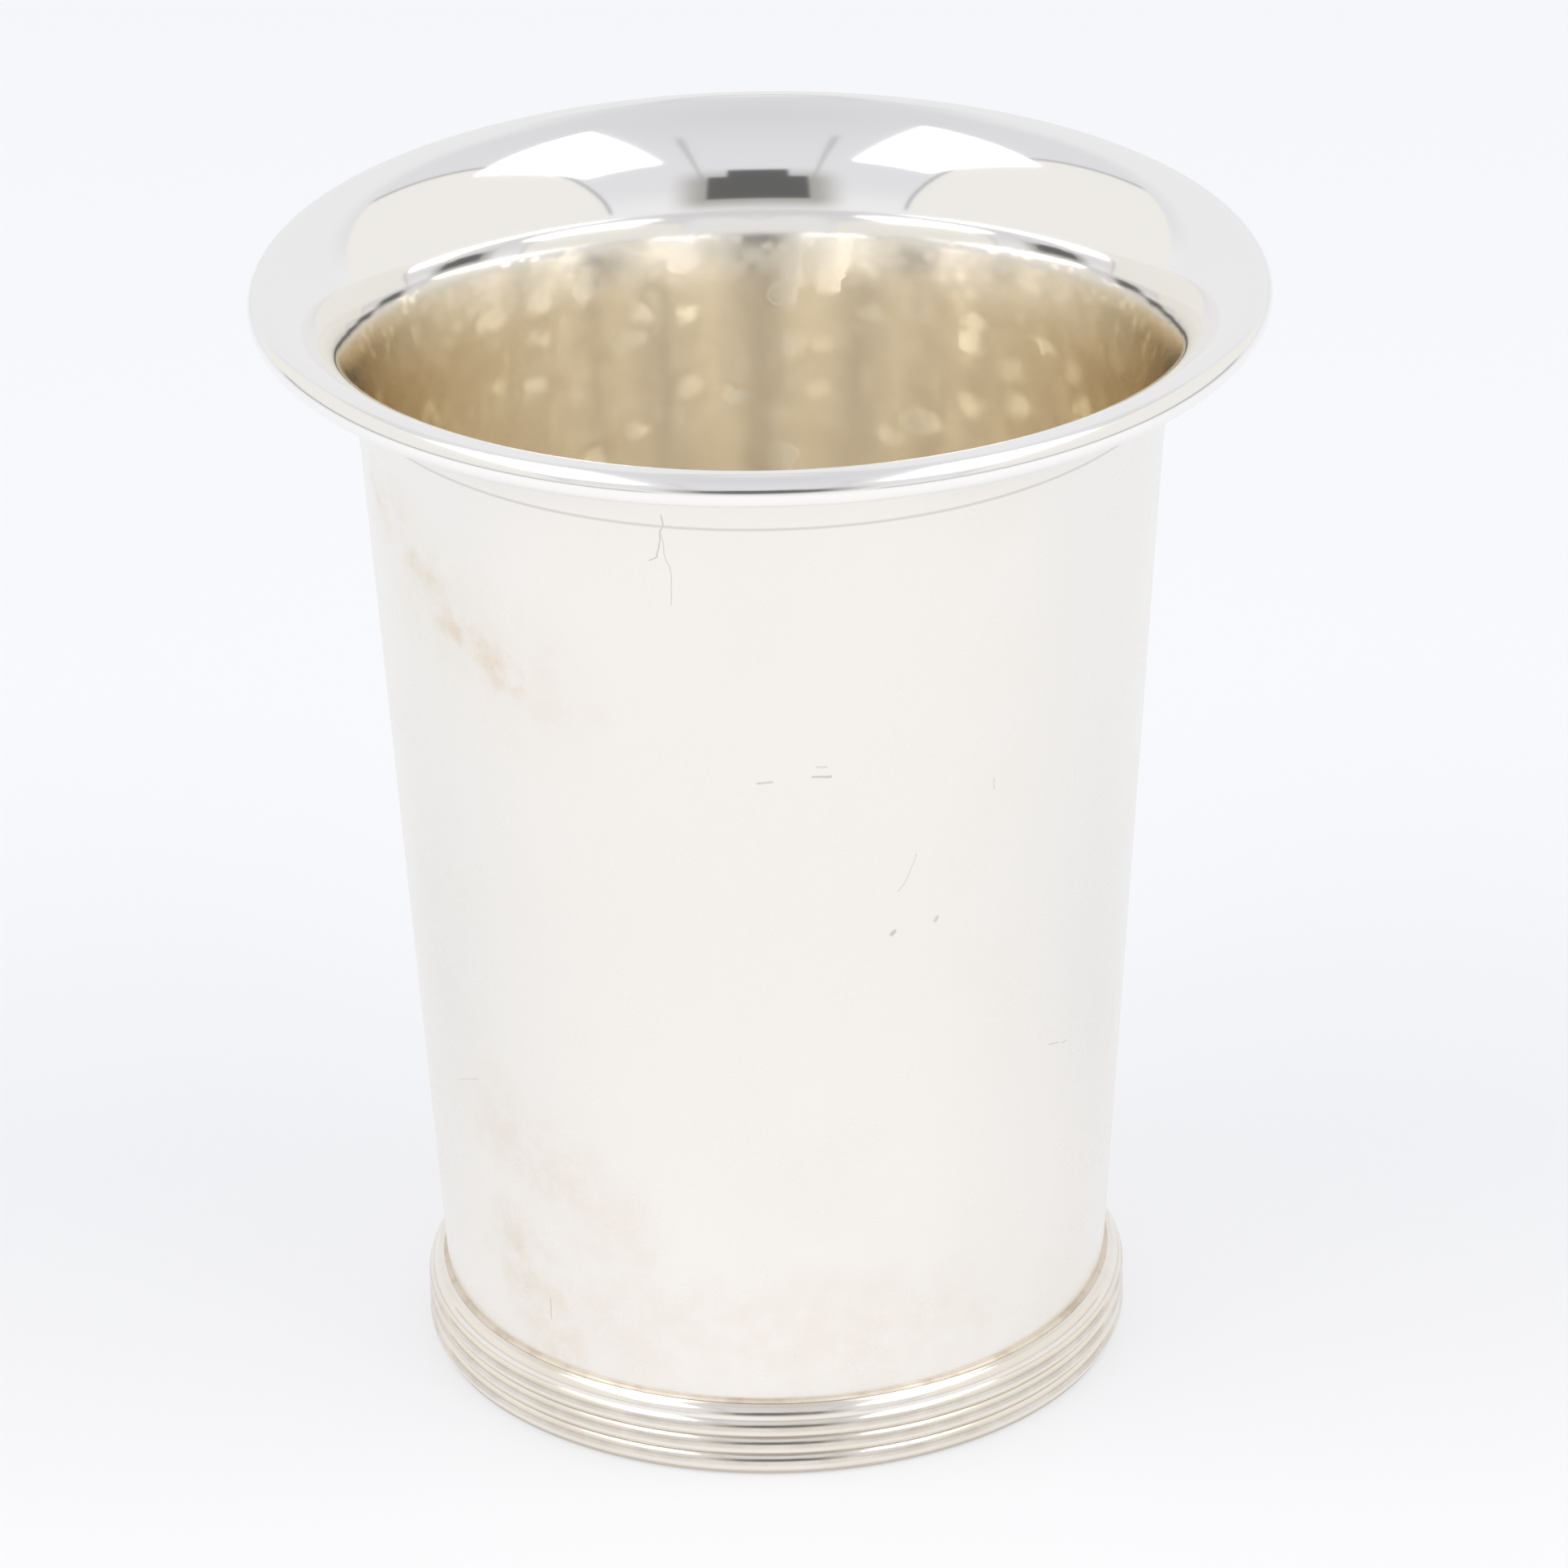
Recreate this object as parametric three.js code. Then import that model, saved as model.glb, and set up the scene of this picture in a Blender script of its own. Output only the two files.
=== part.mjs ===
// Silver beaker: a tapered sheet wall with a rolled trumpet lip, on a reeded foot band.
// Millimetres, +Z up, standing on z = 0.
import * as THREE from 'three';

const degrees = Math.PI / 180;

// Wall
const cupHeight = 95;
const wallFootRadius = 27.5; // outside of the wall, carried down to z = 0
const wallTaper = 0.064; // outward lean, millimetres per millimetre of height
const wallSheet = 0.7;
const wallLift = 0.5; // the wall's lower edge stays clear of the table

// Lip. The turns are measured from straight up: 90 is flat outwards, 180 is straight down.
const flareRadius = 51; // slow flare, from the taper to the neck
const neckTurn = 9.2 * degrees;
const neckRadius = 26; // the flare quickening below the throat
const throatTurn = 14 * degrees;
const throatRadius = 13; // bend at the throat
const brimTurn = 33 * degrees;
const brimRadius = 10.3; // open sweep of the brim
const crestTurn = 66 * degrees;
const crestRadius = 1.75; // over the top of the edge
const rollTurn = 150 * degrees;
const rollRadius = 1.2; // outside of the edge where it rolls under
const rollEnd = 320 * degrees; // where the sheet's free edge tucks in under the brim
const wireFit = 0.05; // between the wire and the roll around it

// Bottom
const baseSheet = 0.9;
const baseRise = 2.2; // underside of the bottom, above the table
const solderGap = 0.1; // gap that solder is drawn into

// Foot band
const reedCount = 3;
const reedPitch = 1.6;
const reedDepth = 0.44;
const bandProud = 1.95; // from the band's back to the crest of its reeds
const bandEdge = 0.2; // plain edge under the lowest reed
const shoulderHeight = 1.1;
const shoulderLand = 0.12; // flat left at the top, against the wall

// Solder
const footFillet = 0.35;
const baseFillet = 0.6;
const filletFit = 0.04; // between a fillet and the pieces that it joins

const roundSegments = 64;

const lean = Math.atan(wallTaper);
const wallOuter = (z) => wallFootRadius + wallTaper * z;
const wallInner = (z) => wallOuter(z) - wallSheet / Math.cos(lean);

// Points of an arc that turns from one angle to another, at a radius from its centre.
function arc(centre, radius, from, to, steps) {
  const points = [];
  for (let i = 0; i <= steps; i += 1) {
    const turn = from + ((to - from) * i) / steps;
    const x = centre.x - radius * Math.cos(turn);
    const y = centre.y + radius * Math.sin(turn);
    points.push(new THREE.Vector2(x, y));
  }
  return points;
}

// Centre of the arc that leaves a point at a turn, bending outwards.
function arcCentre(point, radius, turn) {
  return new THREE.Vector2(point.x + radius * Math.cos(turn), point.y - radius * Math.sin(turn));
}

// A profile in radius and height, closed on itself or on the axis, turned about Z.
function turned(name, profile, material) {
  const geometry = new THREE.LatheGeometry(profile, roundSegments);
  geometry.rotateX(Math.PI / 2);
  const mesh = new THREE.Mesh(geometry, material);
  mesh.name = name;
  return mesh;
}

function closed(points) {
  return [...points, points[0].clone()];
}

const point = (x, y) => new THREE.Vector2(x, y);

// The lip is six arcs in a row, each taking over where the last one ends.
const lipArcs = [
  { radius: flareRadius, from: lean, to: neckTurn, steps: 3 },
  { radius: neckRadius, from: neckTurn, to: throatTurn, steps: 3 },
  { radius: throatRadius, from: throatTurn, to: brimTurn, steps: 5 },
  { radius: brimRadius, from: brimTurn, to: crestTurn, steps: 5 },
  { radius: crestRadius, from: crestTurn, to: rollTurn, steps: 6 },
  { radius: rollRadius, from: rollTurn, to: rollEnd, steps: 9 },
];

// The arcs climb until the edge points straight out, at the full height of the cup.
const straightOut = Math.PI / 2;
let lipRise = 0;
for (const { radius, from, to } of lipArcs) {
  lipRise += radius * (Math.sin(Math.min(to, straightOut)) - Math.sin(Math.min(from, straightOut)));
}
const flareStart = cupHeight - lipRise;

const upperSide = [point(wallInner(wallLift), wallLift)];
const underSide = [point(wallOuter(wallLift), wallLift)];
let tip = point(wallInner(flareStart), flareStart);
let rollCentre = tip;
for (const { radius, from, to, steps } of lipArcs) {
  const centre = arcCentre(tip, radius, from);
  const upper = arc(centre, radius, from, to, steps);
  const under = arc(centre, radius - wallSheet, from, to, steps);
  upperSide.push(...(upperSide.length > 1 ? upper.slice(1) : upper));
  underSide.push(...(underSide.length > 1 ? under.slice(1) : under));
  tip = upper[steps];
  rollCentre = centre;
}
const wallProfile = closed([...underSide, ...upperSide.reverse()]);

// Wire inside the roll
const wireRadius = rollRadius - wallSheet - wireFit;
const wireProfile = arc(rollCentre, wireRadius, 0, -2 * Math.PI, 8);

// Bottom disc, its edge tapered to the wall
const baseTop = baseRise + baseSheet;
const baseProfile = [
  point(0, baseRise),
  point(wallInner(baseRise) - solderGap, baseRise),
  point(wallInner(baseTop) - solderGap, baseTop),
  point(0, baseTop),
];

// Foot band: a plain edge, half-round reeds, and a rounded shoulder that runs in to the wall
const bandBack = (z) => wallOuter(z) + solderGap;
const reedCrest = bandBack(0) + bandProud;
const reedGroove = reedCrest - reedDepth;
const reedRadius = (reedPitch * reedPitch) / (8 * reedDepth) + reedDepth / 2;
const reedHalfAngle = Math.asin(reedPitch / 2 / reedRadius);
const shoulderFoot = bandEdge + reedCount * reedPitch;
const bandTop = shoulderFoot + shoulderHeight;
const shoulderInner = bandBack(bandTop) + shoulderLand;

const bandPoints = [point(bandBack(0), 0), point(reedGroove, 0)];
for (let reed = 0; reed < reedCount; reed += 1) {
  const middle = bandEdge + (reed + 0.5) * reedPitch;
  const centre = point(reedCrest - reedRadius, middle);
  bandPoints.push(...arc(centre, reedRadius, Math.PI + reedHalfAngle, Math.PI - reedHalfAngle, 6));
  if (reed < reedCount - 1) {
    bandPoints.pop();
  }
}
const shoulderSteps = 6;
for (let i = 1; i <= shoulderSteps; i += 1) {
  const angle = (Math.PI / 2) * (i / shoulderSteps);
  const x = shoulderInner + (reedGroove - shoulderInner) * Math.cos(angle);
  bandPoints.push(point(x, shoulderFoot + shoulderHeight * Math.sin(angle)));
}
bandPoints.push(point(bandBack(bandTop), bandTop));
const bandProfile = closed(bandPoints);

// Solder fillets: three-cornered rings in the corners that they fill
const footSeat = bandTop + filletFit;
const footSolderProfile = closed([
  point(wallOuter(footSeat) + filletFit, footSeat),
  point(wallOuter(footSeat) + filletFit + footFillet, footSeat),
  point(wallOuter(footSeat + footFillet) + filletFit, footSeat + footFillet),
]);
const baseSeat = baseRise - filletFit;
const baseSolderProfile = closed([
  point(wallInner(baseSeat - baseFillet) - filletFit, baseSeat - baseFillet),
  point(wallInner(baseSeat) - filletFit, baseSeat),
  point(wallInner(baseSeat) - filletFit - baseFillet, baseSeat),
]);

const wornSilver = new THREE.MeshStandardMaterial({ color: 0xf0ede8, metalness: 1, roughness: 0.22 });
const brightSilver = new THREE.MeshStandardMaterial({ color: 0xf1eee6, metalness: 1, roughness: 0.12 });
const solder = new THREE.MeshStandardMaterial({ color: 0xd7c9b7, metalness: 1, roughness: 0.35 });

const cup = new THREE.Group();
cup.name = 'silver_cup';
cup.add(turned('body_wall', wallProfile, wornSilver));
cup.add(turned('lip_wire', wireProfile, wornSilver.clone()));
cup.add(turned('base_disc', baseProfile, wornSilver.clone()));
cup.add(turned('foot_band', bandProfile, brightSilver));
cup.add(turned('foot_solder', footSolderProfile, solder));
cup.add(turned('base_solder', baseSolderProfile, solder.clone()));

export default cup;
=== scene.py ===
import math

import bpy
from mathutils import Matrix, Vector


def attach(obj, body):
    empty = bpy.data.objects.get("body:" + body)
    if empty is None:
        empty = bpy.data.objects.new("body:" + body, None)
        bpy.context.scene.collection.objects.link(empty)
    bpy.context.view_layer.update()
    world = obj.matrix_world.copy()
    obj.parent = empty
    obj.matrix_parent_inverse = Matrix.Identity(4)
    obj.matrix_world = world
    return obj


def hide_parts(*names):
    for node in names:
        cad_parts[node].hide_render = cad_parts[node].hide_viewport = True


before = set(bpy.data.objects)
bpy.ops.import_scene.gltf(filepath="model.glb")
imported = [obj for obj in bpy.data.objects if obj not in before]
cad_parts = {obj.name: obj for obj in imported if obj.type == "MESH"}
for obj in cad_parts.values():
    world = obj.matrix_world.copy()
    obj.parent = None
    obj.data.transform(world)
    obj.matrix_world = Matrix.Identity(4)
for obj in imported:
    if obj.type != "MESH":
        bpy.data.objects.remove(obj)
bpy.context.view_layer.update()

print("frame loaded, nodes:", sorted(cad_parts))


def deselectAll():
    if bpy.context.object and bpy.context.object.mode != "OBJECT":
        bpy.ops.object.mode_set(mode="OBJECT")
    bpy.ops.object.select_all(action="DESELECT")


def arcPoints(centre, radius, start, end, steps):  # turns counted from the -X side, upwards
    points = []
    for i in range(steps + 1):
        turn = start + (end - start) * i / steps
        points.append((centre[0] - radius * math.cos(turn), centre[1] + radius * math.sin(turn)))
    return points


def linePoints(start, end, steps):
    return [(start[0] + (end[0] - start[0]) * i / steps, start[1] + (end[1] - start[1]) * i / steps)
            for i in range(steps + 1)]


# draws a profile in radius and height point by point, and spins it round the cup's axis
latheLook = {"startSize": 0.002, "merge": 1e-6, "sharp": 40}


def latheProfile(name, points, steps, sharpAngle=latheLook["sharp"]):
    deselectAll()
    bpy.ops.mesh.primitive_plane_add(size=latheLook["startSize"])
    piece = bpy.context.object
    piece.name = piece.data.name = name
    bpy.ops.object.mode_set(mode="EDIT")
    bpy.ops.mesh.select_all(action="SELECT")
    bpy.ops.mesh.merge(type="CENTER")  # one point left to draw with
    last = (0.0, 0.0)
    for i, (x, z) in enumerate(points):
        move = (x - last[0], 0, z - last[1])
        last = (x, z)
        if i == 0:
            bpy.ops.transform.translate(value=move)
        else:
            bpy.ops.mesh.extrude_vertices_move(TRANSFORM_OT_translate={"value": move})
    bpy.ops.mesh.select_all(action="SELECT")
    bpy.ops.mesh.spin(steps=steps, angle=math.tau, center=(0, 0, 0), axis=(0, 0, 1))
    bpy.ops.mesh.select_all(action="SELECT")
    bpy.ops.mesh.remove_doubles(threshold=latheLook["merge"])
    bpy.ops.mesh.normals_make_consistent(inside=False)
    bpy.ops.object.mode_set(mode="OBJECT")
    bpy.ops.object.shade_smooth_by_angle(angle=math.radians(sharpAngle))
    print("turned", name, len(piece.data.polygons), "faces")
    return piece


def onCup(piece, node):
    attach(piece, "root")
    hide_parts(node)


# wall with its rolled trumpet lip, in metres
wallLook = {
    "height": 0.095, "footRadius": 0.0275, "taper": 0.064, "sheet": 0.0007, "lift": 0.0005,
    "straightRows": 36, "around": 288,
    # radius, turn at its end in degrees from straight up, steps
    "lip": ((0.051, 9.2, 8), (0.026, 14, 6), (0.013, 33, 12), (0.0103, 66, 14), (0.00175, 150, 24),
            (0.0012, 320, 30)),
    # faces that get the inside's finish: tipped up above this height, or further out than the edge
    "insideTip": 0.3, "insideFrom": 0.08, "edgeFrom": 0.0385,
}
lean = math.atan(wallLook["taper"])


def wallOuter(z):
    return wallLook["footRadius"] + wallLook["taper"] * z


def wallInner(z):
    return wallOuter(z) - wallLook["sheet"] / math.cos(lean)


def makeWall():
    w = wallLook
    arcs, turn = [], lean
    for radius, end, steps in w["lip"]:
        arcs.append((radius, turn, math.radians(end), steps))
        turn = math.radians(end)
    flat = math.pi / 2  # the lip is highest where it points straight out
    rise = sum(radius * (math.sin(min(b, flat)) - math.sin(min(a, flat))) for radius, a, b, n in arcs)
    flareStart = w["height"] - rise
    tip = (wallInner(flareStart), flareStart)
    inside, outside = [], []
    for radius, a, b, n in arcs:
        centre = (tip[0] + radius * math.cos(a), tip[1] - radius * math.sin(a))
        upper = arcPoints(centre, radius, a, b, n)
        under = arcPoints(centre, radius - w["sheet"], a, b, n)
        inside += upper[1:] if inside else upper
        outside += under[1:] if outside else under
        tip = upper[-1]
    low = w["lift"]
    outsideStraight = linePoints((wallOuter(low), low), outside[0], w["straightRows"])
    insideStraight = linePoints((wallInner(low), low), inside[0], w["straightRows"])
    up = outsideStraight[:-1] + outside
    down = list(reversed(insideStraight[:-1] + inside))
    return latheProfile("silverWall", up + down + up[:1], w["around"])


# reeded foot band
bandLook = {
    "reeds": 3, "pitch": 0.0016, "depth": 0.00044, "proud": 0.00195, "edge": 0.0002,
    "shoulder": 0.0011, "land": 0.00012, "gap": 0.0001, "reedSteps": 16, "shoulderSteps": 14, "around": 288,
}


def bandBack(z):
    return wallOuter(z) + bandLook["gap"]


def bandGroove():
    return bandBack(0) + bandLook["proud"] - bandLook["depth"]


def makeBand():
    b = bandLook
    crest, groove = bandBack(0) + b["proud"], bandGroove()
    radius = b["pitch"] ** 2 / (8 * b["depth"]) + b["depth"] / 2
    half = math.asin(b["pitch"] / 2 / radius)
    points = [(bandBack(0), 0), (groove, 0)]
    for reed in range(b["reeds"]):
        middle = b["edge"] + (reed + 0.5) * b["pitch"]
        centre = (crest - radius, middle)
        reedArc = arcPoints(centre, radius, math.pi + half, math.pi - half, b["reedSteps"])
        points += reedArc[:-1]
    foot = b["edge"] + b["reeds"] * b["pitch"]
    top = foot + b["shoulder"]
    inner = bandBack(top) + b["land"]
    for i in range(b["shoulderSteps"] + 1):
        angle = math.pi / 2 * i / b["shoulderSteps"]
        points.append((inner + (groove - inner) * math.cos(angle), foot + b["shoulder"] * math.sin(angle)))
    points += [(bandBack(top), top), (bandBack(0), 0)]
    return latheProfile("reededBand", points, b["around"]), top


# bottom disc and the two lines of solder
baseLook = {
    "sheet": 0.0009, "rise": 0.0022, "gap": 0.000004, "mark": 0.0004, "markDepth": 0.00015,
    "middle": 0.004, "rowsUnder": 6, "rowsOver": 7, "around": 192,
}
solderLook = {
    "foot": 0.00035, "base": 0.0006, "fit": 0.000004, "hollow": 0.00006, "hollowSteps": 6,
    "sharp": 60, "around": 288,
}


def makeBase():
    b = baseLook
    low, high = b["rise"], b["rise"] + b["sheet"]
    points = [(0, low + b["markDepth"]), (b["mark"], low)]  # small centre prick underneath
    points += linePoints((b["middle"], low), (wallInner(low) - b["gap"], low), b["rowsUnder"])
    points += linePoints((wallInner(high) - b["gap"], high), (0, high), b["rowsOver"])
    return latheProfile("bottomDisc", points, b["around"])


def makeSolder(bandTop):
    s = solderLook
    seat = bandTop + s["fit"]
    corner = (wallOuter(seat) + s["fit"], seat)
    outer = (corner[0] + s["foot"], seat)
    top = (wallOuter(seat + s["foot"]) + s["fit"], seat + s["foot"])
    hollow = arcPoints((outer[0], top[1]), s["foot"], -math.pi / 2, 0, s["hollowSteps"])[1:-1]
    hollow = [(x + s["hollow"], z + s["hollow"]) for x, z in hollow]
    profile = [corner, outer] + hollow + [top, corner]
    footRing = latheProfile("footSolderLine", profile, s["around"], s["sharp"])
    seat = baseLook["rise"] - s["fit"]
    low = (wallInner(seat - s["base"]) - s["fit"], seat - s["base"])
    corner = (wallInner(seat) - s["fit"], seat)
    edge = (corner[0] - s["base"], seat)
    baseRing = latheProfile("bottomSolderLine", [low, corner, edge, low], s["around"], s["sharp"])
    return footRing, baseRing


# node helpers for the finishes
def newMaterial(name):
    material = bpy.data.materials.new(name)
    material.use_nodes = True
    tree = material.node_tree
    tree.nodes.clear()
    out = tree.nodes.new("ShaderNodeOutputMaterial")
    shader = tree.nodes.new("ShaderNodeBsdfPrincipled")
    tree.links.new(shader.outputs["BSDF"], out.inputs["Surface"])
    return material, tree, shader


def addNode(tree, kind, **settings):
    node = tree.nodes.new(kind)
    for key, value in settings.items():
        setattr(node, key, value)
    return node


def feed(tree, socket, value):  # a link, or a plain value on the socket
    if isinstance(value, bpy.types.NodeSocket):
        tree.links.new(value, socket)
    else:
        socket.default_value = value


def noiseNode(tree, vector, scale, detail, rough):
    noise = addNode(tree, "ShaderNodeTexNoise")
    for key, value in (("Vector", vector), ("Scale", scale), ("Detail", detail), ("Roughness", rough)):
        feed(tree, noise.inputs[key], value)
    return noise.outputs["Fac"]


def rangeNode(tree, value, fromLow, fromHigh, toLow, toHigh, smooth=True):
    node = addNode(tree, "ShaderNodeMapRange", interpolation_type="SMOOTHSTEP" if smooth else "LINEAR")
    ends = {"From Min": fromLow, "From Max": fromHigh, "To Min": toLow, "To Max": toHigh}
    for key, number in ends.items():
        node.inputs[key].default_value = number
    tree.links.new(value, node.inputs["Value"])
    return node.outputs["Result"]


def between(tree, value, low, high, soft):
    rise = rangeNode(tree, value, low - soft, low + soft, 0, 1)
    fall = rangeNode(tree, value, high - soft, high + soft, 1, 0)
    return mathNode(tree, "MULTIPLY", rise, fall)


def mathNode(tree, operation, first, second=0.0, clamp=False):
    node = addNode(tree, "ShaderNodeMath", operation=operation, use_clamp=clamp)
    feed(tree, node.inputs[0], first)
    feed(tree, node.inputs[1], second)
    return node.outputs["Value"]


def vectorNode(tree, operation, first, second=(0, 0, 0)):
    node = addNode(tree, "ShaderNodeVectorMath", operation=operation)
    feed(tree, node.inputs[0], first)
    feed(tree, node.inputs[1], second)
    single = operation in ("DOT_PRODUCT", "DISTANCE", "LENGTH")
    return node.outputs["Value" if single else "Vector"]


def mixColour(tree, factor, first, second):
    node = addNode(tree, "ShaderNodeMix", data_type="RGBA")
    tree.links.new(factor, node.inputs["Factor"])
    for socket, value in ((node.inputs[6], first), (node.inputs[7], second)):
        feed(tree, socket, (*value, 1) if isinstance(value, tuple) else value)
    return node.outputs[2]


def bumpNode(tree, shader, height, strength, distance):
    bump = addNode(tree, "ShaderNodeBump")
    bump.inputs["Strength"].default_value = strength
    bump.inputs["Distance"].default_value = distance
    tree.links.new(height, bump.inputs["Height"])
    tree.links.new(bump.outputs["Normal"], shader.inputs["Normal"])
    return bump


def rubbedRound(tree, shader, amount):  # rubbed round the cup, so highlights stretch up and down
    shader.inputs["Anisotropic"].default_value = amount
    shader.inputs["Anisotropic Rotation"].default_value = 0.25  # a quarter turn
    tangent = addNode(tree, "ShaderNodeTangent", direction_type="RADIAL", axis="Z")
    tree.links.new(tangent.outputs["Tangent"], shader.inputs["Tangent"])


def cupPlace(tree):  # Object coordinates, and their three parts
    coord = addNode(tree, "ShaderNodeTexCoord").outputs["Object"]
    split = addNode(tree, "ShaderNodeSeparateXYZ")
    tree.links.new(coord, split.inputs["Vector"])
    return coord, split.outputs


def axisDistance(tree, coord):
    return vectorNode(tree, "LENGTH", vectorNode(tree, "MULTIPLY", coord, (1, 1, 0)))


unrollRadius = 0.0305  # the wall unrolled at this radius gives distances along it
perMetre = 1000  # strokes are given in mm


def unrolledPlace(tree, wander, grain):
    coord, parts = cupPlace(tree)
    turn = mathNode(tree, "ARCTAN2", parts["X"], mathNode(tree, "MULTIPLY", parts["Y"], -1.0))
    flat = addNode(tree, "ShaderNodeCombineXYZ")
    tree.links.new(mathNode(tree, "MULTIPLY", turn, unrollRadius), flat.inputs["X"])
    tree.links.new(parts["Z"], flat.inputs["Y"])
    noise = addNode(tree, "ShaderNodeTexNoise")
    noise.inputs["Scale"].default_value = grain
    tree.links.new(coord, noise.inputs["Vector"])
    centred = vectorNode(tree, "SUBTRACT", noise.outputs["Color"], (0.5, 0.5, 0.5))
    shake = vectorNode(tree, "MULTIPLY", centred, (wander, wander, 0))
    return vectorNode(tree, "ADD", flat.outputs["Vector"], shake)


def strokeMask(tree, place, points, width, solid):
    mask = None
    for start, end in zip(points, points[1:]):
        first = Vector((start[0] / perMetre, start[1] / perMetre, 0))
        run = Vector((end[0] / perMetre, end[1] / perMetre, 0)) - first
        offset = vectorNode(tree, "SUBTRACT", place, tuple(first))
        along = vectorNode(tree, "DOT_PRODUCT", offset, tuple(run / run.length_squared))
        along = mathNode(tree, "ADD", along, 0.0, True)
        foot = addNode(tree, "ShaderNodeVectorMath", operation="SCALE")
        foot.inputs[0].default_value = run
        tree.links.new(along, foot.inputs["Scale"])
        gap = vectorNode(tree, "DISTANCE", offset, foot.outputs["Vector"])
        part = rangeNode(tree, gap, width * solid / perMetre, width / perMetre, 1, 0)
        mask = part if mask is None else mathNode(tree, "MAXIMUM", mask, part)
    return mask


def manyStrokes(tree, place, strokes, solid):
    total = None
    for points, width, strength in strokes:
        mask = mathNode(tree, "MULTIPLY", strokeMask(tree, place, points, width, solid), strength)
        total = mask if total is None else mathNode(tree, "MAXIMUM", total, mask)
    return total


# blotches of tarnish and uneven gloss; detail and roughness of each noise, and where it starts and ends
rubbingLook = {
    "blotchScale": 60, "blotchDetail": (3, 0.55), "blotchFrom": (0.42, 0.72),
    "glossScale": 210, "glossDetail": (4, 0.6), "glossFrom": (0.3, 0.7),
}


def makeRubbing():
    look = rubbingLook
    group = bpy.data.node_groups.new("handRubbing", "ShaderNodeTree")
    face = group.interface
    scale = face.new_socket("Blotch Scale", in_out="INPUT", socket_type="NodeSocketFloat")
    scale.default_value = look["blotchScale"]
    for name in ("Blotch", "Gloss"):
        face.new_socket(name, in_out="OUTPUT", socket_type="NodeSocketFloat")
    entry = group.nodes.new("NodeGroupInput")
    leave = group.nodes.new("NodeGroupOutput")
    coord = group.nodes.new("ShaderNodeTexCoord").outputs["Object"]
    blotch = noiseNode(group, coord, entry.outputs["Blotch Scale"], *look["blotchDetail"])
    group.links.new(rangeNode(group, blotch, *look["blotchFrom"], 0, 1), leave.inputs["Blotch"])
    gloss = noiseNode(group, coord, look["glossScale"], *look["glossDetail"])
    group.links.new(rangeNode(group, gloss, *look["glossFrom"], 0, 1), leave.inputs["Gloss"])
    return group


def placeRubbing(tree, group, blotchScale):
    node = addNode(tree, "ShaderNodeGroup", node_tree=group)
    node.inputs["Blotch Scale"].default_value = blotchScale
    return node.outputs


outerLook = {
    # painted light: "low" makes the wall lighter and warmer towards the bottom, standing in for the bright
    # floor it mirrors there
    "clean": (0.898, 0.876, 0.835), "low": (0.952, 0.922, 0.875), "lowLightHeight": (0.008, 0.055),
    "dull": (0.88, 0.846, 0.778), "tarnish": (0.72, 0.56, 0.34),
    "mark": (0.28, 0.25, 0.22), "roughness": (0.22, 0.28),
    "lipRoughness": 0.12, "lipHeight": (0.0876, 0.0891),
    "lineHeight": (0.0873, 0.08755), "lineSoft": 0.0001, "lineStrength": 0.3,
    "blotchScale": 55, "blotchStrength": 0.3,
    # how far the strokes stray and how finely, and the solid share of their width
    "stainStray": (0.004, 280), "stainCore": 0.05, "scratchStray": (0.0003, 900), "scratchCore": 0.2,
    "patchScale": 330, "patchDetail": (4, 0.6), "patchFrom": (0.3, 0.7), "patchStrength": (0.15, 1),
    # places in mm along the wall from the front and up it, half width in mm, strength
    "stains": (
        (((-38, 81), (-32, 78), (-27.5, 74)), 3.6, 0.42),
        (((-26, 73.5), (-21.5, 70.5)), 3.0, 0.5),
        (((-34, 79), (-18, 70)), 9.0, 0.16),
        (((-27, 27.5), (-19, 25), (-15, 21.5)), 7.0, 0.2),
        (((-26, 16), (-22, 9)), 7.0, 0.28),
        (((-20, 12), (0, 13), (16, 12)), 9.0, 0.13),
    ),
    "scratches": (
        (((-7.2, 88.6), (-7.1, 87.6), (-7.4, 86.9), (-7.8, 84.5), (-8.4, 84.1)), 0.09, 0.42),
        (((-7.4, 86.9), (-7.2, 84.6), (-6.8, 82.8), (-6.95, 80.3)), 0.08, 0.28),
        (((-0.8, 64.5), (0.3, 64.6)), 0.15, 0.34),
        (((3.4, 64.9), (4.8, 64.85)), 0.18, 0.42),
        (((3.7, 65.8), (4.5, 65.7)), 0.12, 0.22),
        (((11.8, 56.6), (11.1, 54.7), (10.3, 53.5)), 0.09, 0.24),
        (((9.8, 49.7), (10, 49.85)), 0.3, 0.42),
        (((13.6, 50.1), (13.75, 50.4)), 0.24, 0.35),
        (((26.4, 34.4), (27.7, 34)), 0.1, 0.28),
        (((28.2, 33.8), (29, 33.6)), 0.1, 0.28),
        (((18.65, 61.7), (18.7, 60.8)), 0.12, 0.21),
        (((-22, 12.4), (-22.1, 10.5)), 0.14, 0.28),
        (((-33, 29.2), (-29.5, 30.7)), 0.08, 0.21),
    ),
}


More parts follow.
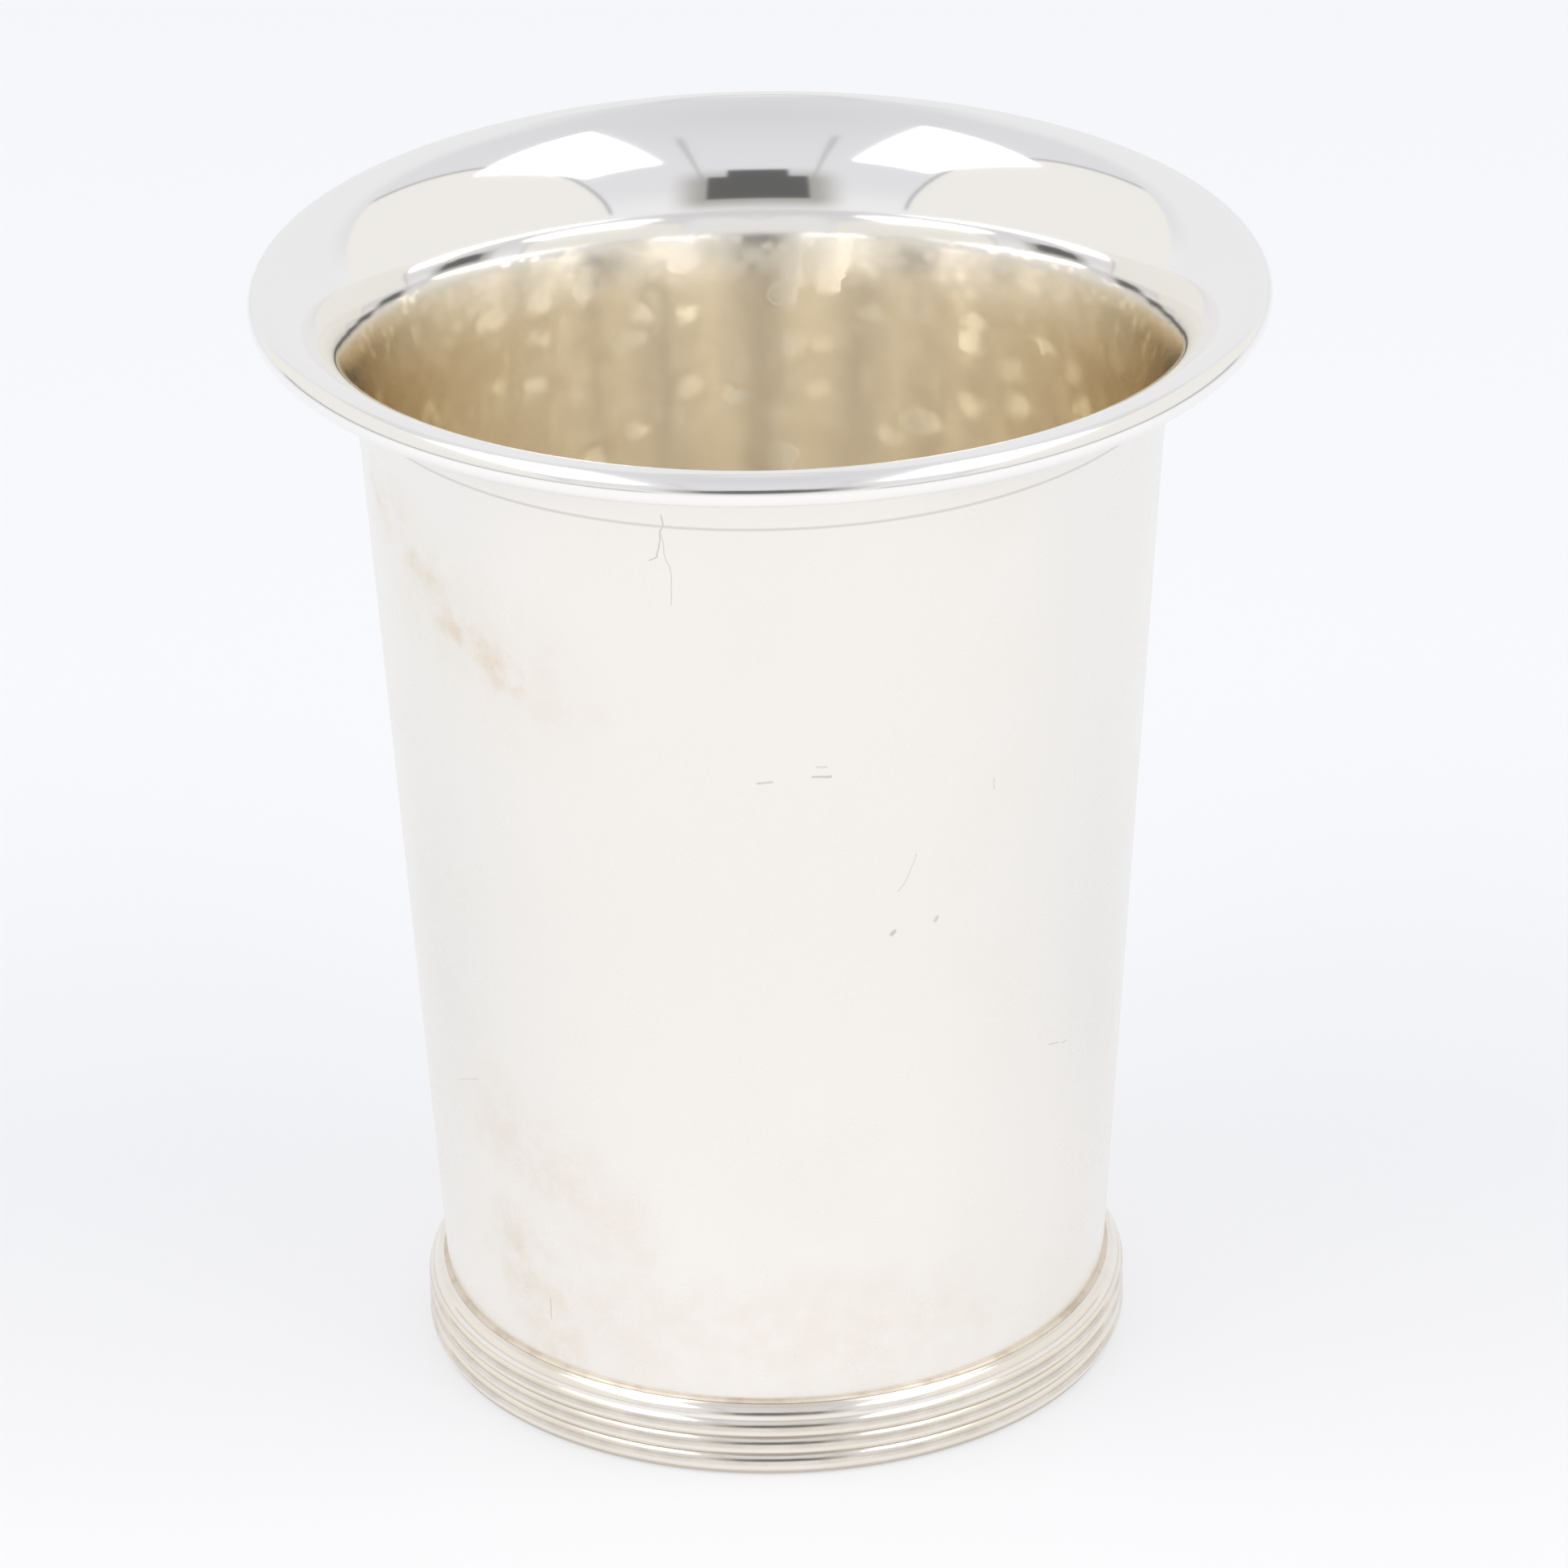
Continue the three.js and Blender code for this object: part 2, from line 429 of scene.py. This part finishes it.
def outerSilver(group):
    material, tree, shader = newMaterial("outerSilver")
    look = outerLook
    rub = placeRubbing(tree, group, look["blotchScale"])
    coord, parts = cupPlace(tree)
    stains = manyStrokes(tree, unrolledPlace(tree, *look["stainStray"]), look["stains"], look["stainCore"])
    patchy = noiseNode(tree, coord, look["patchScale"], *look["patchDetail"])
    patchy = rangeNode(tree, patchy, *look["patchFrom"], *look["patchStrength"])
    stains = mathNode(tree, "MULTIPLY", stains, patchy)
    # painted light: lighter, warmer colour towards the bottom of the wall
    low = rangeNode(tree, parts["Z"], *look["lowLightHeight"], 1, 0)
    colour = mixColour(tree, low, look["clean"], look["low"])
    blotch = mathNode(tree, "MULTIPLY", rub["Blotch"], look["blotchStrength"])
    colour = mixColour(tree, blotch, colour, look["dull"])
    colour = mixColour(tree, stains, colour, look["tarnish"])
    scratchPlace = unrolledPlace(tree, *look["scratchStray"])
    scratches = manyStrokes(tree, scratchPlace, look["scratches"], look["scratchCore"])
    # fine line turned in under the lip
    line = between(tree, parts["Z"], *look["lineHeight"], look["lineSoft"])
    scratches = mathNode(tree, "MAXIMUM", scratches, mathNode(tree, "MULTIPLY", line, look["lineStrength"]))
    tree.links.new(mixColour(tree, scratches, colour, look["mark"]), shader.inputs["Base Color"])
    shader.inputs["Metallic"].default_value = 1
    satin = rangeNode(tree, rub["Gloss"], 0, 1, *look["roughness"])
    lip = rangeNode(tree, parts["Z"], *look["lipHeight"], 0, 1)
    rough = addNode(tree, "ShaderNodeMix", data_type="FLOAT")
    tree.links.new(lip, rough.inputs["Factor"])
    tree.links.new(satin, rough.inputs[2])
    rough.inputs[3].default_value = look["lipRoughness"]
    tree.links.new(rough.outputs[0], shader.inputs["Roughness"])
    return material


innerLook = {
    "clean": (0.94, 0.91, 0.852), "bright": (0.945, 0.936, 0.918), "polish": (0.0785, 0.0865),
    "gloss": 0.07, "satin": 0.12, "edge": 0.15, "edgeRadius": (0.0375, 0.039), "rubbed": 0.4,
    "dimples": 0.00005, "dimpleScale": 230, "dimpleDetail": (1, 0.4),
    # painted reflection: "mark" is the gold tint painted on the hammer marks to colour their glints
    "mark": (0.95, 0.874, 0.725), "markScale": 245, "markSquat": (1, 1, 1.3), "markSize": (0.18, 0.5),
    "markShare": (0.35, 0.65), "markTilt": 0.12, "markStray": 0.0022, "markGrain": 480,
    "markHeight": (0.05, 0.082), "markFade": 0.004,
}


def innerSilver():
    material, tree, shader = newMaterial("innerSilver")
    look = innerLook
    coord, parts = cupPlace(tree)
    polish = rangeNode(tree, parts["Z"], *look["polish"], 0, 1)
    shader.inputs["Metallic"].default_value = 1
    radius = axisDistance(tree, coord)
    rough = rangeNode(tree, polish, 0, 1, look["satin"], look["gloss"], False)
    worn = rangeNode(tree, radius, *look["edgeRadius"], 0, look["edge"])  # the edge is worn duller
    tree.links.new(mathNode(tree, "MAXIMUM", rough, worn), shader.inputs["Roughness"])
    rubbedRound(tree, shader, look["rubbed"])
    # scattered hammer marks, their faces tipped up a little, and tinted gold as a painted reflection that
    # colours their glints
    spots = addNode(tree, "ShaderNodeTexVoronoi")
    spots.inputs["Scale"].default_value = look["markScale"]
    uneven = addNode(tree, "ShaderNodeTexNoise")
    uneven.inputs["Scale"].default_value = look["markGrain"]
    tree.links.new(coord, uneven.inputs["Vector"])
    shake = vectorNode(tree, "MULTIPLY", uneven.outputs["Color"], (look["markStray"],) * 3)
    squat = vectorNode(tree, "MULTIPLY", coord, look["markSquat"])
    tree.links.new(vectorNode(tree, "ADD", squat, shake), spots.inputs["Vector"])
    glintMarks = rangeNode(tree, spots.outputs["Distance"], *look["markSize"], 1, 0)
    chance = addNode(tree, "ShaderNodeSeparateColor")
    tree.links.new(spots.outputs["Color"], chance.inputs["Color"])
    chosen = rangeNode(tree, chance.outputs["Red"], *look["markShare"], 0, 1)
    glintMarks = mathNode(tree, "MULTIPLY", glintMarks, chosen)
    zone = between(tree, parts["Z"], *look["markHeight"], look["markFade"])
    glintMarks = mathNode(tree, "MULTIPLY", glintMarks, zone)
    colour = mixColour(tree, polish, look["clean"], look["bright"])
    # painted reflection: the hammer marks are tinted gold to colour their glints
    tree.links.new(mixColour(tree, glintMarks, colour, look["mark"]), shader.inputs["Base Color"])
    tip = addNode(tree, "ShaderNodeCombineXYZ")
    tree.links.new(mathNode(tree, "MULTIPLY", glintMarks, look["markTilt"]), tip.inputs["Z"])
    surface = addNode(tree, "ShaderNodeNewGeometry").outputs["Normal"]
    normal = vectorNode(tree, "ADD", surface, tip.outputs["Vector"])
    dimples = noiseNode(tree, coord, look["dimpleScale"], *look["dimpleDetail"])
    below = rangeNode(tree, polish, 0, 1, 1, 0)
    bump = bumpNode(tree, shader, mathNode(tree, "MULTIPLY", dimples, below), 1, look["dimples"])
    tree.links.new(vectorNode(tree, "NORMALIZE", normal), bump.inputs["Normal"])
    return material


bandFinish = {
    "clean": (0.925, 0.888, 0.825), "tarnish": (0.84, 0.78, 0.68),
    "roughness": (0.14, 0.18), "rubbed": 0.85,
    "blotchScale": 80, "blotchStrength": 0.6,
    "groove": (0.66, 0.59, 0.49), "grooveWidth": 0.00012, "grooveStrength": 0.8,
    "grooveTop": (0.0049, 0.0051),
    # painted shade: a darker band on the upper part of each reed, standing in for the dark room it mirrors,
    # placed as a share of its height
    "paintedReedShade": (0.58, 0.5, 0.41), "reedShadePlace": (0.46, 0.82), "reedShadeSoft": 0.1,
    "reedShadeStrength": (0.3, 0.58),
}


def bandSilver(group):
    material, tree, shader = newMaterial("bandSilver")
    look = bandFinish
    rub = placeRubbing(tree, group, look["blotchScale"])
    coord, parts = cupPlace(tree)
    blotch = mathNode(tree, "MULTIPLY", rub["Blotch"], look["blotchStrength"])
    colour = mixColour(tree, blotch, look["clean"], look["tarnish"])
    radius = axisDistance(tree, coord)
    deep = bandGroove()
    groove = rangeNode(tree, radius, deep, deep + look["grooveWidth"], look["grooveStrength"], 0)
    shoulder = rangeNode(tree, parts["Z"], *look["grooveTop"], 1, 0)  # the grooves end under the shoulder
    groove = mathNode(tree, "MULTIPLY", groove, shoulder)
    reed = mathNode(tree, "SUBTRACT", parts["Z"], bandLook["edge"])
    reed = mathNode(tree, "MULTIPLY", reed, 1 / bandLook["pitch"])
    # painted shade on the upper part of every reed
    paintedReedShade = between(tree, mathNode(tree, "FRACT", reed), *look["reedShadePlace"], look["reedShadeSoft"])
    strength = rangeNode(tree, rub["Gloss"], 0, 1, *look["reedShadeStrength"])
    paintedReedShade = mathNode(tree, "MULTIPLY", paintedReedShade, strength)
    colour = mixColour(tree, mathNode(tree, "MULTIPLY", paintedReedShade, shoulder), colour, look["paintedReedShade"])
    tree.links.new(mixColour(tree, groove, colour, look["groove"]), shader.inputs["Base Color"])
    shader.inputs["Metallic"].default_value = 1
    tree.links.new(rangeNode(tree, rub["Gloss"], 0, 1, *look["roughness"]), shader.inputs["Roughness"])
    rubbedRound(tree, shader, look["rubbed"])
    return material


solderFinish = {
    "clean": (0.76, 0.69, 0.59), "tarnish": (0.62, 0.54, 0.45), "roughness": (0.5, 0.6), "blotchScale": 400,
}


def solderMetal(group):
    material, tree, shader = newMaterial("solderMetal")
    look = solderFinish
    rub = placeRubbing(tree, group, look["blotchScale"])
    colour = mixColour(tree, rub["Blotch"], look["clean"], look["tarnish"])
    tree.links.new(colour, shader.inputs["Base Color"])
    shader.inputs["Metallic"].default_value = 1
    tree.links.new(rangeNode(tree, rub["Gloss"], 0, 1, *look["roughness"]), shader.inputs["Roughness"])
    return material


wall = makeWall()
band, bandTop = makeBand()
bottom = makeBase()
footRing, baseRing = makeSolder(bandTop)
onCup(wall, "body_wall")
onCup(band, "foot_band")
onCup(bottom, "base_disc")
onCup(footRing, "foot_solder")
onCup(baseRing, "base_solder")
print("pieces made")

rubbing = makeRubbing()
outer, inner = outerSilver(rubbing), innerSilver()
bandMetal, solder = bandSilver(rubbing), solderMetal(rubbing)
wall.data.materials.append(outer)
wall.data.materials.append(inner)
for face in wall.data.polygons:
    place, normal = face.center, face.normal
    around = Vector((place.x, place.y)).length
    outwards = (normal.x * place.x + normal.y * place.y) / around
    tippedUp = normal.z > wallLook["insideTip"] and place.z > wallLook["insideFrom"]
    onInside = outwards < 0 or tippedUp or around > wallLook["edgeFrom"]
    face.material_index = 1 if onInside else 0
band.data.materials.append(bandMetal)
bottom.data.materials.append(inner)
for ring in (footRing, baseRing):
    ring.data.materials.append(solder)
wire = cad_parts["lip_wire"]
wire.data.materials.clear()
wire.data.materials.append(inner)
print("finishes placed")


# floor, lamps and sky
stageLook = {
    "floor": (0.93, 0.93, 0.94), "floorSize": 8, "floorDrop": 0.00003, "glow": 0.5,
    "glowNear": (0.985, 0.972, 0.972), "glowFar": (0.87, 0.89, 0.93), "glowReach": (-0.12, 0.06),
    "boxStrength": 2.8, "boxSize": (0.48, 0.9), "boxPlace": (0.63, -0.31, 1.0), "boxTurn": 10,
    "bounces": 24,
}


def seenDirectly(tree):  # by the camera, or mirrored in the metal
    path = addNode(tree, "ShaderNodeLightPath").outputs
    seen = mathNode(tree, "MAXIMUM", path["Is Camera Ray"], path["Is Glossy Ray"])
    return mathNode(tree, "MAXIMUM", seen, path["Is Transmission Ray"])


def makeFloor():
    look = stageLook
    deselectAll()
    bpy.ops.mesh.primitive_plane_add(size=look["floorSize"], location=(0, 0, -look["floorDrop"]))
    floor = bpy.context.object
    floor.name = "floor"
    material, tree, shader = newMaterial("paleFloor")
    shader.inputs["Base Color"].default_value = (*look["floor"], 1)
    shader.inputs["Roughness"].default_value = 1
    shader.inputs["Specular IOR Level"].default_value = 0
    coord, parts = cupPlace(tree)
    glow = addNode(tree, "ShaderNodeEmission")
    far = rangeNode(tree, parts["Y"], *look["glowReach"], 0, 1)
    tree.links.new(mixColour(tree, far, look["glowNear"], look["glowFar"]), glow.inputs["Color"])
    mix = addNode(tree, "ShaderNodeMixShader")
    tree.links.new(mathNode(tree, "MULTIPLY", seenDirectly(tree), look["glow"]), mix.inputs["Fac"])
    tree.links.new(shader.outputs["BSDF"], mix.inputs[1])
    tree.links.new(glow.outputs["Emission"], mix.inputs[2])
    out = next(node for node in tree.nodes if node.type == "OUTPUT_MATERIAL")
    tree.links.new(mix.outputs["Shader"], out.inputs["Surface"])
    material.cycles.emission_sampling = "NONE"
    floor.data.materials.append(material)


def makeBox(side):  # softbox lying flat above one side, facing down
    size, place = stageLook["boxSize"], stageLook["boxPlace"]
    data = bpy.data.lights.new("softbox", "AREA")
    data.shape = "RECTANGLE"
    data.size, data.size_y = size
    data.energy = stageLook["boxStrength"] * math.pi * size[0] * size[1]
    lamp = bpy.data.objects.new("softbox", data)
    lamp.location = (side * place[0], place[1], place[2])
    lamp.rotation_euler = (0, 0, side * math.radians(stageLook["boxTurn"]))
    bpy.context.scene.collection.objects.link(lamp)


# the room that the metal mirrors; degrees round from the camera's side, and up
skyLook = {
    # brightness by height, a little bluer up to blueTop
    "levels": ((0, 0.90), (12, 0.88), (24, 0.79), (60, 0.75), (90, 0.69)),
    "blueLow": 1.015, "blueMore": 0.03, "blueTop": 30,
    # patches: round, up, colour, softness
    "behind": ((140, 190), (-10, 62), (0.87, 0.868, 0.885), 6),
    "horizon": ((24, 125), (-6, 4.5), (0.42, 0.42, 0.42), 1.5),
    "greyFront": ((-30, 21), (9, 33), (0.43, 0.42, 0.4), 6),
    "darkLow": ((-9, 14.5), (14.5, 31), (0.13, 0.13, 0.13), 0.6),
    "darkHigh": ((-9, 9), (29, 36), (0.13, 0.13, 0.13), 0.6),
    "seam": (0.42, 0.43, 0.44), "seamStart": 0.17, "seamSlope": 0.18, "seamWidth": 0.03, "seamSoft": 0.01,
    "seamHeight": (24, 66), "seamFade": 4, "seamStrength": 0.6, "lowest": 0.05,
    "panel": (0.90, 0.885, 0.855), "panelCentre": (97, 5), "panelHalf": (55, 46), "panelEnd": (135, 137),
    "panelRim": (0.985, 1.0), "panelEdge": (0.3, 0.3, 0.3), "panelEdgeReach": (1.0, 1.02),
    "panelEdgeSoft": 0.008, "panelEdgeHeight": (8, 12), "panelEdgeStrength": 0.7,
    "plain": (0.945, 0.95, 0.965),  # what the camera itself sees
}


def makeSky():
    look = skyLook
    world = bpy.data.worlds.new("studio")
    bpy.context.scene.world = world
    world.use_nodes = True
    tree = world.node_tree
    tree.nodes.clear()
    out = tree.nodes.new("ShaderNodeOutputWorld")
    background = tree.nodes.new("ShaderNodeBackground")
    split = tree.nodes.new("ShaderNodeSeparateXYZ")
    tree.links.new(tree.nodes.new("ShaderNodeTexCoord").outputs["Generated"], split.inputs["Vector"])
    x, y, z = (split.outputs[axis] for axis in "XYZ")
    toDegrees = 180 / math.pi
    front = mathNode(tree, "MULTIPLY", y, -1.0)
    bearing = mathNode(tree, "MULTIPLY", mathNode(tree, "ARCTAN2", x, front), toDegrees)
    bearing = mathNode(tree, "ABSOLUTE", bearing)  # both sides alike
    up = mathNode(tree, "MULTIPLY", mathNode(tree, "ARCSINE", z), toDegrees)

    ramp = tree.nodes.new("ShaderNodeValToRGB")
    top = look["levels"][-1][0]
    while len(ramp.color_ramp.elements) < len(look["levels"]):
        ramp.color_ramp.elements.new(0.5)
    for element, (place, value) in zip(ramp.color_ramp.elements, look["levels"]):
        blue = look["blueLow"] + look["blueMore"] * min(place / look["blueTop"], 1)
        element.position = place / top
        element.color = (value, value, value * blue, 1)
    tree.links.new(mathNode(tree, "MULTIPLY", up, 1 / top), ramp.inputs["Fac"])
    colour = ramp.outputs["Color"]

    def patch(colour, name):
        sides, heights, paint, soft = look[name]
        aside, level = between(tree, bearing, *sides, soft), between(tree, up, *heights, soft)
        return mixColour(tree, mathNode(tree, "MULTIPLY", aside, level), colour, paint)

    colour = patch(colour, "behind")
    # strip of ceiling over the camera, with a dark seam down each side of it
    height = mathNode(tree, "MAXIMUM", z, look["lowest"])
    over = mathNode(tree, "DIVIDE", mathNode(tree, "ABSOLUTE", x), height)
    ahead = mathNode(tree, "DIVIDE", front, height)
    gap = mathNode(tree, "SUBTRACT", over, mathNode(tree, "MULTIPLY", ahead, look["seamSlope"]))
    seamEnd = look["seamStart"] + look["seamWidth"]
    seam = between(tree, gap, look["seamStart"], seamEnd, look["seamSoft"])
    seam = mathNode(tree, "MULTIPLY", seam, between(tree, up, *look["seamHeight"], look["seamFade"]))
    colour = mixColour(tree, mathNode(tree, "MULTIPLY", seam, look["seamStrength"]), colour, look["seam"])
    # rounded pale panel at each side, with a thin dark edge
    squares = []
    for value, centre, half in zip((bearing, up), look["panelCentre"], look["panelHalf"]):
        share = mathNode(tree, "DIVIDE", mathNode(tree, "SUBTRACT", value, centre), half)
        squares.append(mathNode(tree, "MULTIPLY", share, share))
    reach = mathNode(tree, "SQRT", mathNode(tree, "ADD", *squares))
    near = rangeNode(tree, bearing, *look["panelEnd"], 1, 0)
    inside = mathNode(tree, "MULTIPLY", rangeNode(tree, reach, *look["panelRim"], 1, 0), near)
    colour = mixColour(tree, inside, colour, look["panel"])
    edge = between(tree, reach, *look["panelEdgeReach"], look["panelEdgeSoft"])
    shown = rangeNode(tree, up, *look["panelEdgeHeight"], 0, look["panelEdgeStrength"])
    edge = mathNode(tree, "MULTIPLY", mathNode(tree, "MULTIPLY", edge, shown), near)
    colour = mixColour(tree, edge, colour, look["panelEdge"])
    for name in ("horizon", "greyFront", "darkLow", "darkHigh"):
        colour = patch(colour, name)

    camera = addNode(tree, "ShaderNodeLightPath").outputs["Is Camera Ray"]
    tree.links.new(mixColour(tree, camera, colour, look["plain"]), background.inputs["Color"])
    tree.links.new(background.outputs["Background"], out.inputs["Surface"])


cameraLook = {
    "place": (0, -0.658628, 0.368736), "target": (0.0013213, 0, 0.0490852), "roll": -0.9157,
    "lens": 202.385, "sensor": 36, "nearest": 0.01, "furthest": 50,
}


def makeCamera():
    look = cameraLook
    data = bpy.data.cameras.new("photoCamera")
    data.sensor_fit = "HORIZONTAL"
    data.sensor_width = look["sensor"]
    data.lens = look["lens"]
    data.clip_start, data.clip_end = look["nearest"], look["furthest"]
    camera = bpy.data.objects.new("photoCamera", data)
    place, target = Vector(look["place"]), Vector(look["target"])
    camera.location = place
    turn = (target - place).to_track_quat("-Z", "Y").to_euler()
    turn.rotate_axis("Z", math.radians(look["roll"]))
    camera.rotation_euler = turn
    bpy.context.scene.collection.objects.link(camera)
    bpy.context.scene.camera = camera


makeFloor()
makeBox(-1)
makeBox(1)
makeSky()
makeCamera()
scene = bpy.context.scene
scene.view_settings.view_transform = "Standard"
scene.cycles.max_bounces = stageLook["bounces"]
scene.cycles.glossy_bounces = stageLook["bounces"]
print("stage set")
